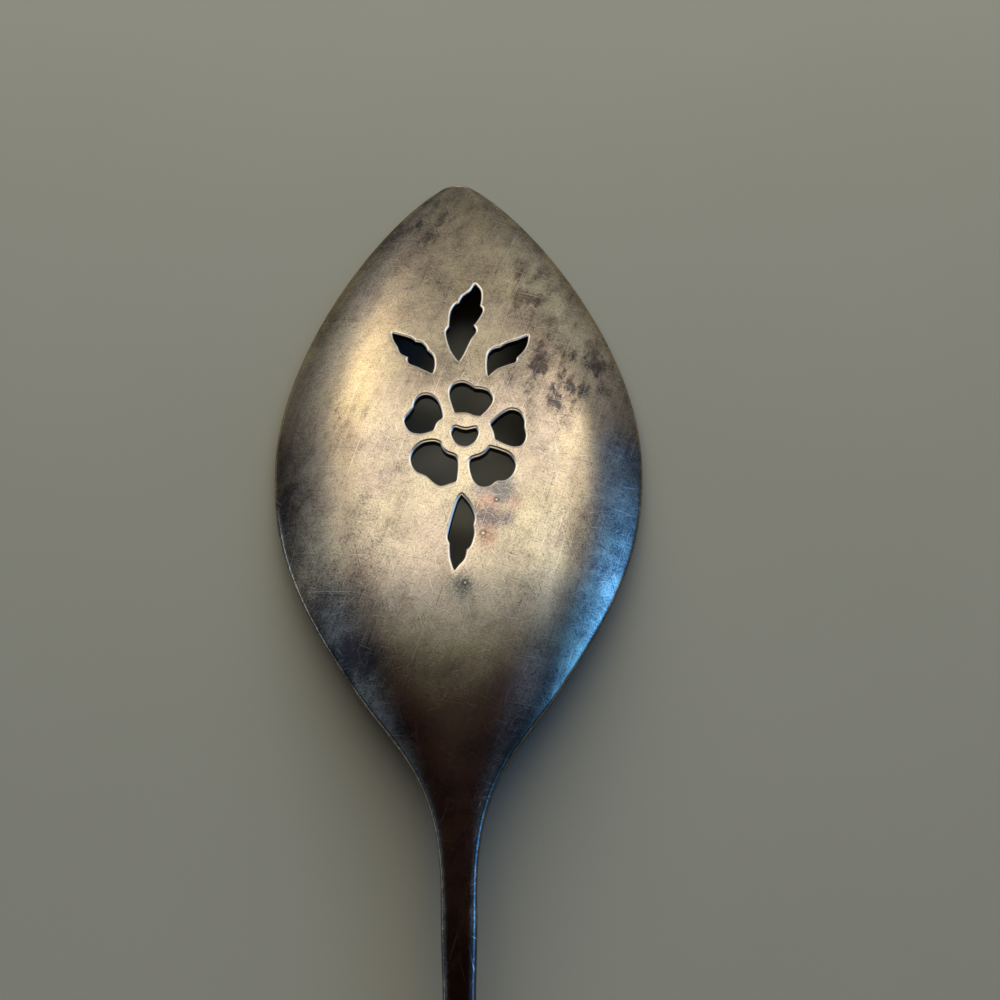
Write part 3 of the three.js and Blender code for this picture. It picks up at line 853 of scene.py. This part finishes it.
for side in (0.5, -0.5):
    level = add_node(
        strike, "ShaderNodeMath", {0: full, 1: side, 2: blends["dome"]}, operation="MULTIPLY_ADD"
    ).outputs[0]
    spot = add_node(
        strike, "ShaderNodeCombineXYZ", {"X": flat_place["X"], "Y": flat_place["Y"], "Z": level}
    ).outputs[0]
    face = add_node(strike, "GeometryNodeSetPosition", {"Geometry": given["Blank"], "Position": spot})
    faces.append(face.outputs[0])
underside = add_node(strike, "GeometryNodeFlipFaces", {"Mesh": faces[1]}).outputs[0]
# The underside is marked, so that the plate there is tarnished dark, which also deepens the shade under
# the blade.
underside = add_node(
    strike,
    "GeometryNodeStoreNamedAttribute",
    {"Geometry": underside, "Name": "back", "Value": 1},
    data_type="FLOAT",
).outputs[0]
join = add_node(strike, "GeometryNodeJoinGeometry", {0: underside})
strike.links.new(faces[0], join.inputs[0])
blade_geometry = add_node(
    strike, "GeometryNodeMergeByDistance", {"Geometry": join.outputs[0], "Distance": MERGE_GAP}
).outputs[0]
blade_geometry = add_node(strike, "GeometryNodeSetShadeSmooth", {"Geometry": blade_geometry}).outputs[0]
blade_geometry = add_node(
    strike, "GeometryNodeRealizeInstances", {"Geometry": blade_geometry}
).outputs[0]
blade_geometry = add_node(
    strike, "GeometryNodeSetMaterial", {"Geometry": blade_geometry, "Material": blade_plate}
).outputs[0]
add_node(strike, "NodeGroupOutput", {"Blade": blade_geometry})

blade = bpy.data.objects.new("silver_blade", blank)
bpy.context.scene.collection.objects.link(blade)
striking = blade.modifiers.new("strike", "NODES")
striking.node_group = strike
for name, socket in size_sockets.items():
    striking[socket.identifier] = float(strike_sizes[name])


def made_plain(piece):
    """Turns what a piece's modifiers make into its plain mesh and removes them."""
    depsgraph = bpy.context.evaluated_depsgraph_get()
    mesh = bpy.data.meshes.new_from_object(piece.evaluated_get(depsgraph))
    piece.modifiers.clear()
    piece.data = mesh
    mesh.name = piece.name


made_plain(blade)
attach(blade, "root")
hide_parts("pierced_blade")

# Handle shells: two halves stamped from thin nickel silver, soldered along a seam at the sides and
# silver plated. The handle swells from the collar to a rounded butt and lies on the table.
HANDLE_MOUTH_WIDTH = 8.4 * MM
HANDLE_MOUTH_THICKNESS = 7.6 * MM
HANDLE_WIDTH = 16.6 * MM
HANDLE_THICKNESS = 10.38 * MM
HANDLE_SQUARENESS = 2.3
BUTT_LENGTH = 18 * MM
SHELL_WALL = 0.7 * MM
COLLAR_LENGTH = 4 * MM
SEAT_GAP = 0.3 * MM
SEAM_ROUND = 0.08 * MM
SEAM_ANGLE = math.radians(50)
SHELL_STEPS = 70
BUTT_STEPS = 30
HALF_RING_STEPS = 40
handle_start = TIP_Y - BOLSTER_FROM_TIP - SEAT_GAP
HANDLE_LENGTH = handle_start - front_shell_low.y
handle_tilt = Matrix.Rotation(HANDLE_SLOPE, 4, "X")
handle_place = Matrix.Translation((0, handle_start, HANDLE_HEIGHT)) @ handle_tilt
# Polished silver plate: the same plate with fainter marks, and with a softer shine where hands have
# rubbed it.
HANDLE_ROUGHNESS = 0.14
HANDLE_WEAR = 0.6
handle_plate = silver_plate("polished_silver_plate", HANDLE_ROUGHNESS, HANDLE_WEAR, {}, False)


def smooth_share(value, start, end):
    """A share from 0 to 1 that eases in and out between two values."""
    share = min(1, max(0, (value - start) / (end - start)))
    return share * share * (3 - 2 * share)


def handle_half_sizes(distance):
    """Half width and half thickness of the handle at a distance behind the bolster."""
    taper = HANDLE_LENGTH - BUTT_LENGTH
    swell = smooth_share(distance, COLLAR_LENGTH, taper)
    into_butt = max(0, distance - taper) / BUTT_LENGTH
    rounding = math.sqrt(max(0, 1 - into_butt * into_butt)) / 2
    return (
        rounding * (HANDLE_MOUTH_WIDTH + swell * (HANDLE_WIDTH - HANDLE_MOUTH_WIDTH)),
        rounding * (HANDLE_MOUTH_THICKNESS + swell * (HANDLE_THICKNESS - HANDLE_MOUTH_THICKNESS)),
    )


def bar_point(distance, half_sizes, turn):
    """A point on a squarish oval section of the handle."""
    power = 2 / HANDLE_SQUARENESS
    x, z = [math.copysign(abs(share) ** power, share) for share in (math.cos(turn), math.sin(turn))]
    return handle_place @ Vector((half_sizes[0] * x, -distance, half_sizes[1] * z))


def handle_shell(name, side):
    """One stamped half of the handle, above (1) or below (-1) the seam."""
    taper = HANDLE_LENGTH - BUTT_LENGTH
    start = COLLAR_LENGTH + SEAT_GAP
    distances = [start + (taper - start) * step / SHELL_STEPS for step in range(SHELL_STEPS)]
    butt_turns = [math.pi / 2 * step / BUTT_STEPS for step in range(BUTT_STEPS)]
    distances += [taper + BUTT_LENGTH * math.sin(turn) for turn in butt_turns]
    shell = bmesh.new()
    rings = []
    for distance in distances:
        sizes = handle_half_sizes(distance)
        turns = [side * math.pi * step / HALF_RING_STEPS for step in range(HALF_RING_STEPS + 1)]
        rings.append([shell.verts.new(bar_point(distance, sizes, turn)) for turn in turns])
    butt = shell.verts.new(bar_point(HANDLE_LENGTH, (0, 0), 0))
    for ring, following in zip(rings, rings[1:]):
        for step in range(HALF_RING_STEPS):
            corners = [ring[step], ring[step + 1], following[step + 1], following[step]]
            shell.faces.new(corners if side > 0 else corners[::-1])
    for step in range(HALF_RING_STEPS):
        corners = [rings[-1][step], rings[-1][step + 1], butt]
        shell.faces.new(corners if side > 0 else corners[::-1])
    for face in shell.faces:
        face.smooth = True
    mesh = bpy.data.meshes.new(name)
    shell.to_mesh(mesh)
    shell.free()
    mesh.materials.append(handle_plate)
    piece = bpy.data.objects.new(name, mesh)
    bpy.context.scene.collection.objects.link(piece)
    wall = piece.modifiers.new("wall", "SOLIDIFY")
    wall.thickness = SHELL_WALL
    wall.offset = -1
    wall.use_even_offset = True
    seam = piece.modifiers.new("seam", "BEVEL")
    seam.width = SEAM_ROUND
    seam.segments = 2
    seam.limit_method = "ANGLE"
    seam.angle_limit = SEAM_ANGLE
    made_plain(piece)
    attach(piece, "root")
    return piece


upper_shell = handle_shell("silver_handle_front", 1)
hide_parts("handle_front_shell")
lower_shell = handle_shell("silver_handle_back", -1)
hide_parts("handle_back_shell")

# Collar: a turned ring with a raised bead, soldered to the mouth of the shells with its spigot inside
# them and set against the blade's bolster. It is silver plated like the shells.
COLLAR_BEAD = 0.7 * MM
SPIGOT_LENGTH = 5 * MM
COLLAR_STEPS = 24
COLLAR_RING_STEPS = 80
COLLAR_CREASE = math.radians(40)
TANG_WIDTH = 3.4 * MM
TANG_THICKNESS = 2.4 * MM
collar_sections = []
for step in range(COLLAR_STEPS + 1):
    turn = math.pi * step / COLLAR_STEPS
    share = (1 - math.cos(turn)) / 2
    proud = COLLAR_BEAD * math.sin(turn)
    half_sizes = (
        (BOLSTER_WIDTH + share * (HANDLE_MOUTH_WIDTH - BOLSTER_WIDTH)) / 2 + proud,
        (BOLSTER_THICKNESS + share * (HANDLE_MOUTH_THICKNESS - BOLSTER_THICKNESS)) / 2 + proud,
    )
    collar_sections.append((COLLAR_LENGTH * share, half_sizes))
spigot_sizes = [half - SHELL_WALL - SEAT_GAP for half in handle_half_sizes(COLLAR_LENGTH)]
tang_hole = (TANG_WIDTH / 2 + SEAT_GAP, TANG_THICKNESS / 2 + SEAT_GAP)
collar_sections += [
    (COLLAR_LENGTH, spigot_sizes),
    (COLLAR_LENGTH + SPIGOT_LENGTH, spigot_sizes),
    (COLLAR_LENGTH + SPIGOT_LENGTH, tang_hole),
    (0, tang_hole),
]
ring_turns = [2 * math.pi * step / COLLAR_RING_STEPS for step in range(COLLAR_RING_STEPS)]
collar_mesh = bmesh.new()
collar_rings = []
for distance, half_sizes in collar_sections:
    ring = [collar_mesh.verts.new(bar_point(distance, half_sizes, turn)) for turn in ring_turns]
    collar_rings.append(ring)
for ring, following in zip(collar_rings, collar_rings[1:] + collar_rings[:1]):
    for step in range(COLLAR_RING_STEPS):
        beside = (step + 1) % COLLAR_RING_STEPS
        collar_mesh.faces.new([ring[step], ring[beside], following[beside], following[step]])
bmesh.ops.recalc_face_normals(collar_mesh, faces=collar_mesh.faces)
for face in collar_mesh.faces:
    face.smooth = True
collar = bpy.data.objects.new("silver_collar", bpy.data.meshes.new("silver_collar"))
collar_mesh.to_mesh(collar.data)
collar_mesh.free()
collar.data.materials.append(handle_plate)
collar.data.set_sharp_from_angle(angle=COLLAR_CREASE)
bpy.context.scene.collection.objects.link(collar)
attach(collar, "root")
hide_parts("handle_collar")

# Tang cement: rosin and brick dust poured in hot round the tang, which it holds in the hollow handle.
# It is hidden inside the shells, so the CAD solid stays and only its surface is made.
# Set rosin cement is dark brown and dull, with pale grit.
CEMENT_BROWN = "#4b3a2b"
GRIT_BROWN = "#7d6248"
GRIT_SIZE = 0.8 * MM
GRIT_HEIGHT = 0.2 * MM
GRIT_STRENGTH = 0.6
CEMENT_ROUGHNESS = 0.85
cement = bpy.data.materials.new("rosin_cement")
cement.use_nodes = True
cement_tree = cement.node_tree
cement_tree.nodes.clear()
cement_place = add_node(cement_tree, "ShaderNodeTexCoord").outputs["Object"]
grit = add_node(
    cement_tree, "ShaderNodeTexNoise", {"Vector": cement_place, "Scale": 1 / GRIT_SIZE, "Detail": 4}
).outputs["Fac"]
cement_colour = add_node(
    cement_tree,
    "ShaderNodeMix",
    {"Factor": grit, 6: linear(CEMENT_BROWN), 7: linear(GRIT_BROWN)},
    data_type="RGBA",
).outputs[2]
cement_bump = add_node(
    cement_tree,
    "ShaderNodeBump",
    {"Height": grit, "Distance": GRIT_HEIGHT, "Strength": GRIT_STRENGTH},
).outputs[0]
cement_shader = add_node(
    cement_tree,
    "ShaderNodeBsdfPrincipled",
    {"Base Color": cement_colour, "Roughness": CEMENT_ROUGHNESS, "Normal": cement_bump},
).outputs[0]
add_node(cement_tree, "ShaderNodeOutputMaterial", {"Surface": cement_shader})
cement_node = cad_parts["tang_cement"]
cement_node.data.materials.clear()
cement_node.data.materials.append(cement)

# Table: a plain pale top under the server, wide enough to fill the view, a hair below the plane on which
# the server rests. Its matt lacquer is a little cloudy and mirrors almost nothing.
TABLE_SIZE = 6
TABLE_DROP = 0.02 * MM
TABLE_GREY = "#a9a591"
TABLE_SHADE = "#a39f8a"
TABLE_CLOUD = 60 * MM
TABLE_ROUGHNESS = 0.9
TABLE_GLOSS = 0.1
half_table = TABLE_SIZE / 2
table_corners = []
for x, y in [(-1, -1), (1, -1), (1, 1), (-1, 1)]:
    table_corners.append((x * half_table, y * half_table, -TABLE_DROP))
table_mesh = bpy.data.meshes.new("table")
table_mesh.from_pydata(table_corners, [], [(0, 1, 2, 3)])
table = bpy.data.objects.new("table", table_mesh)
bpy.context.scene.collection.objects.link(table)
lacquer = bpy.data.materials.new("matt_grey_lacquer")
lacquer.use_nodes = True
lacquer_tree = lacquer.node_tree
lacquer_tree.nodes.clear()
table_place = add_node(lacquer_tree, "ShaderNodeTexCoord").outputs["Object"]
mottle = add_node(
    lacquer_tree, "ShaderNodeTexNoise", {"Vector": table_place, "Scale": 1 / TABLE_CLOUD, "Detail": 4}
).outputs["Fac"]
table_colour = add_node(
    lacquer_tree,
    "ShaderNodeMix",
    {"Factor": mottle, 6: linear(TABLE_GREY), 7: linear(TABLE_SHADE)},
    data_type="RGBA",
).outputs[2]
lacquer_shader = add_node(
    lacquer_tree,
    "ShaderNodeBsdfPrincipled",
    {"Base Color": table_colour, "Roughness": TABLE_ROUGHNESS, "Specular IOR Level": TABLE_GLOSS},
).outputs[0]
add_node(lacquer_tree, "ShaderNodeOutputMaterial", {"Surface": lacquer_shader})
table_mesh.materials.append(lacquer)

# Room: a soft bright ceiling to the north that fades sideways and upwards, a dark room behind the
# camera, soft lamps, and a cool light from the east. The camera itself sees a plain backdrop.
# Each glow is a lean in degrees and the share of the light there.
CEILING_RADIANCE = 1.65
BACKDROP_GREY = "#76756c"
NORTH_GLOW = [
    (-20, "#160b08"), (12, "#1e0804"), (15, "#5b5d5c"), (18, "#a4adb6"), (22, "#f8f8f8"),
    (25, "#ffffff"), (30, "#f8f8f8"), (40, "#b6b6b6"), (52, "#909090"), (66, "#4c4c4c"), (90, "#6c6c6c"),
]
EAST_GLOW = [
    (-90, "#909090"), (-70, "#5a5a5a"), (-54, "#6a6a6a"), (-38, "#a8a8a8"), (-20, "#ffffff"),
    (22, "#ffffff"), (38, "#7c7c7c"), (54, "#404040"), (70, "#404040"), (90, "#909090"),
]
# Soft lamps: radiance, colour, lean east and north, and spread, in degrees.
LAMPS = [
    (1.5, "#fff0d2", -35, 44, 9),
    (1.55, "#fff8f0", 36, 36, 7),
    (4.2, "#4fa0ff", 67, 17, 10),
    (1.6, "#5fa8ff", 54.5, 13, 10),
    (0.33, "#93c0ff", 27, 11, 9.5),
    (0.36, "#a8cbff", -52, 12, 14),
    (0.65, "#edf5ff", -54, 63, 16),
    (0.6, "#f0f7ff", 56, 66, 18),
    (1.5, "#fff4e0", 0, 84, 5),
]
world = bpy.data.worlds.new("soft_studio")
bpy.context.scene.world = world
world.use_nodes = True
world_tree = world.node_tree
world_tree.nodes.clear()
sky_way = add_node(world_tree, "ShaderNodeTexCoord").outputs["Generated"]
sky_parts = add_node(world_tree, "ShaderNodeSeparateXYZ", {0: sky_way}).outputs
glows = []
for axis, glow in [("Y", NORTH_GLOW), ("X", EAST_GLOW)]:
    lean = add_node(
        world_tree, "ShaderNodeMath", {0: sky_parts[axis], 1: sky_parts["Z"]}, operation="ARCTAN2"
    ).outputs[0]
    share = add_node(
        world_tree,
        "ShaderNodeMapRange",
        {"Value": lean, "From Min": -math.pi / 2, "From Max": math.pi / 2},
    ).outputs[0]
    ramp = add_node(world_tree, "ShaderNodeValToRGB", {"Fac": share})
    stops = ramp.color_ramp.elements
    for _ in glow[2:]:
        stops.new(0.5)
    for stop, (angle, grey) in zip(stops, glow):
        stop.position = (angle + 90) / 180
        stop.color = linear(grey)
    ramp.color_ramp.interpolation = "EASE"
    glows.append(ramp.outputs["Color"])
sky = add_node(
    world_tree, "ShaderNodeVectorMath", {0: glows[0], 1: glows[1]}, operation="MULTIPLY"
).outputs[0]
sky = add_node(
    world_tree, "ShaderNodeVectorMath", {0: sky, "Scale": CEILING_RADIANCE}, operation="SCALE"
).outputs[0]
for radiance, colour, east, north, spread in LAMPS:
    lamp_way = Vector((math.tan(math.radians(east)), math.tan(math.radians(north)), 1)).normalized()
    sharpness = math.log(2) / (1 - math.cos(math.radians(spread)))
    facing = add_node(
        world_tree, "ShaderNodeVectorMath", {0: sky_way, 1: lamp_way}, operation="DOT_PRODUCT"
    ).outputs["Value"]
    depth = add_node(
        world_tree,
        "ShaderNodeMath",
        {0: facing, 1: sharpness, 2: -sharpness},
        operation="MULTIPLY_ADD",
    ).outputs[0]
    glow = add_node(world_tree, "ShaderNodeMath", {0: depth}, operation="EXPONENT").outputs[0]
    lamp_colour = radiance * Vector(linear(colour)[:3])
    sky = add_node(
        world_tree, "ShaderNodeVectorMath", {0: glow, 1: lamp_colour, 2: sky}, operation="MULTIPLY_ADD"
    ).outputs[0]
straight = add_node(world_tree, "ShaderNodeLightPath").outputs["Is Camera Ray"]
sky = add_node(
    world_tree, "ShaderNodeMix", {"Factor": straight, 6: sky, 7: linear(BACKDROP_GREY)}, data_type="RGBA"
).outputs[2]
background = add_node(world_tree, "ShaderNodeBackground", {"Color": sky}).outputs[0]
add_node(world_tree, "ShaderNodeOutputWorld", {"Surface": background})
bpy.context.scene.view_settings.view_transform = "Standard"

# Soft boxes: a low one beyond the tip lights only the table, more at its far part. The others only show
# in the silver, so that it reads well from the sides and the back too.
# Each is its compass direction and rise in degrees, distance, width, height, radiance, colour, and
# whether it shows in the silver.
SOFT_BOXES = [
    (0, 15, 0.58, 0.7, 0.12, 10.5, "#ffffff", False),
    (180, 29, 1.2, 1, 0.9, 1.1, "#fff6e8", True),
    (138, 29, 1.2, 0.9, 0.9, 0.8, "#f2f6ff", True),
    (222, 29, 1.2, 0.9, 0.9, 0.8, "#fff6e8", True),
    (270, 7, 1.2, 1, 0.16, 1.4, "#b9d8ff", True),
]
for compass, rise, distance, width, height, radiance, colour, mirrored in SOFT_BOXES:
    way_out = Vector((0, math.cos(math.radians(rise)), math.sin(math.radians(rise))))
    way_out.rotate(Matrix.Rotation(-math.radians(compass), 3, "Z"))
    box_light = bpy.data.lights.new("soft_box", "AREA")
    box_light.shape = "RECTANGLE"
    box_light.size = width
    box_light.size_y = height
    box_light.energy = math.pi * width * height * radiance
    box_light.color = linear(colour)[:3]
    soft_box = bpy.data.objects.new("soft_box", box_light)
    facing_in = way_out.to_track_quat("Z", "Y").to_matrix().to_4x4()
    soft_box.matrix_world = Matrix.Translation(distance * way_out) @ facing_in
    soft_box.visible_camera = False
    soft_box.visible_diffuse = not mirrored
    soft_box.visible_glossy = mirrored
    bpy.context.scene.collection.objects.link(soft_box)

# Camera: above the shank and a little to its right, looking down along the blade, with a slight roll.
# Its place and lens give the frame of the photograph.
CAMERA_PLACE = Vector((6.469 * MM, TIP_Y - 148.75 * MM, 200.787 * MM))
CAMERA_TILT = math.radians(24)
CAMERA_ROLL = math.radians(-0.989)
CAMERA_LENS = 50.4
CAMERA_SENSOR = 36
CAMERA_NEAR = 10 * MM
camera_data = bpy.data.cameras.new("camera")
camera_data.lens = CAMERA_LENS
camera_data.sensor_width = CAMERA_SENSOR
camera_data.clip_start = CAMERA_NEAR
camera = bpy.data.objects.new("camera", camera_data)
turned = Matrix.Rotation(CAMERA_TILT, 4, "X") @ Matrix.Rotation(CAMERA_ROLL, 4, "Z")
camera.matrix_world = Matrix.Translation(CAMERA_PLACE) @ turned
bpy.context.scene.collection.objects.link(camera)
bpy.context.scene.camera = camera
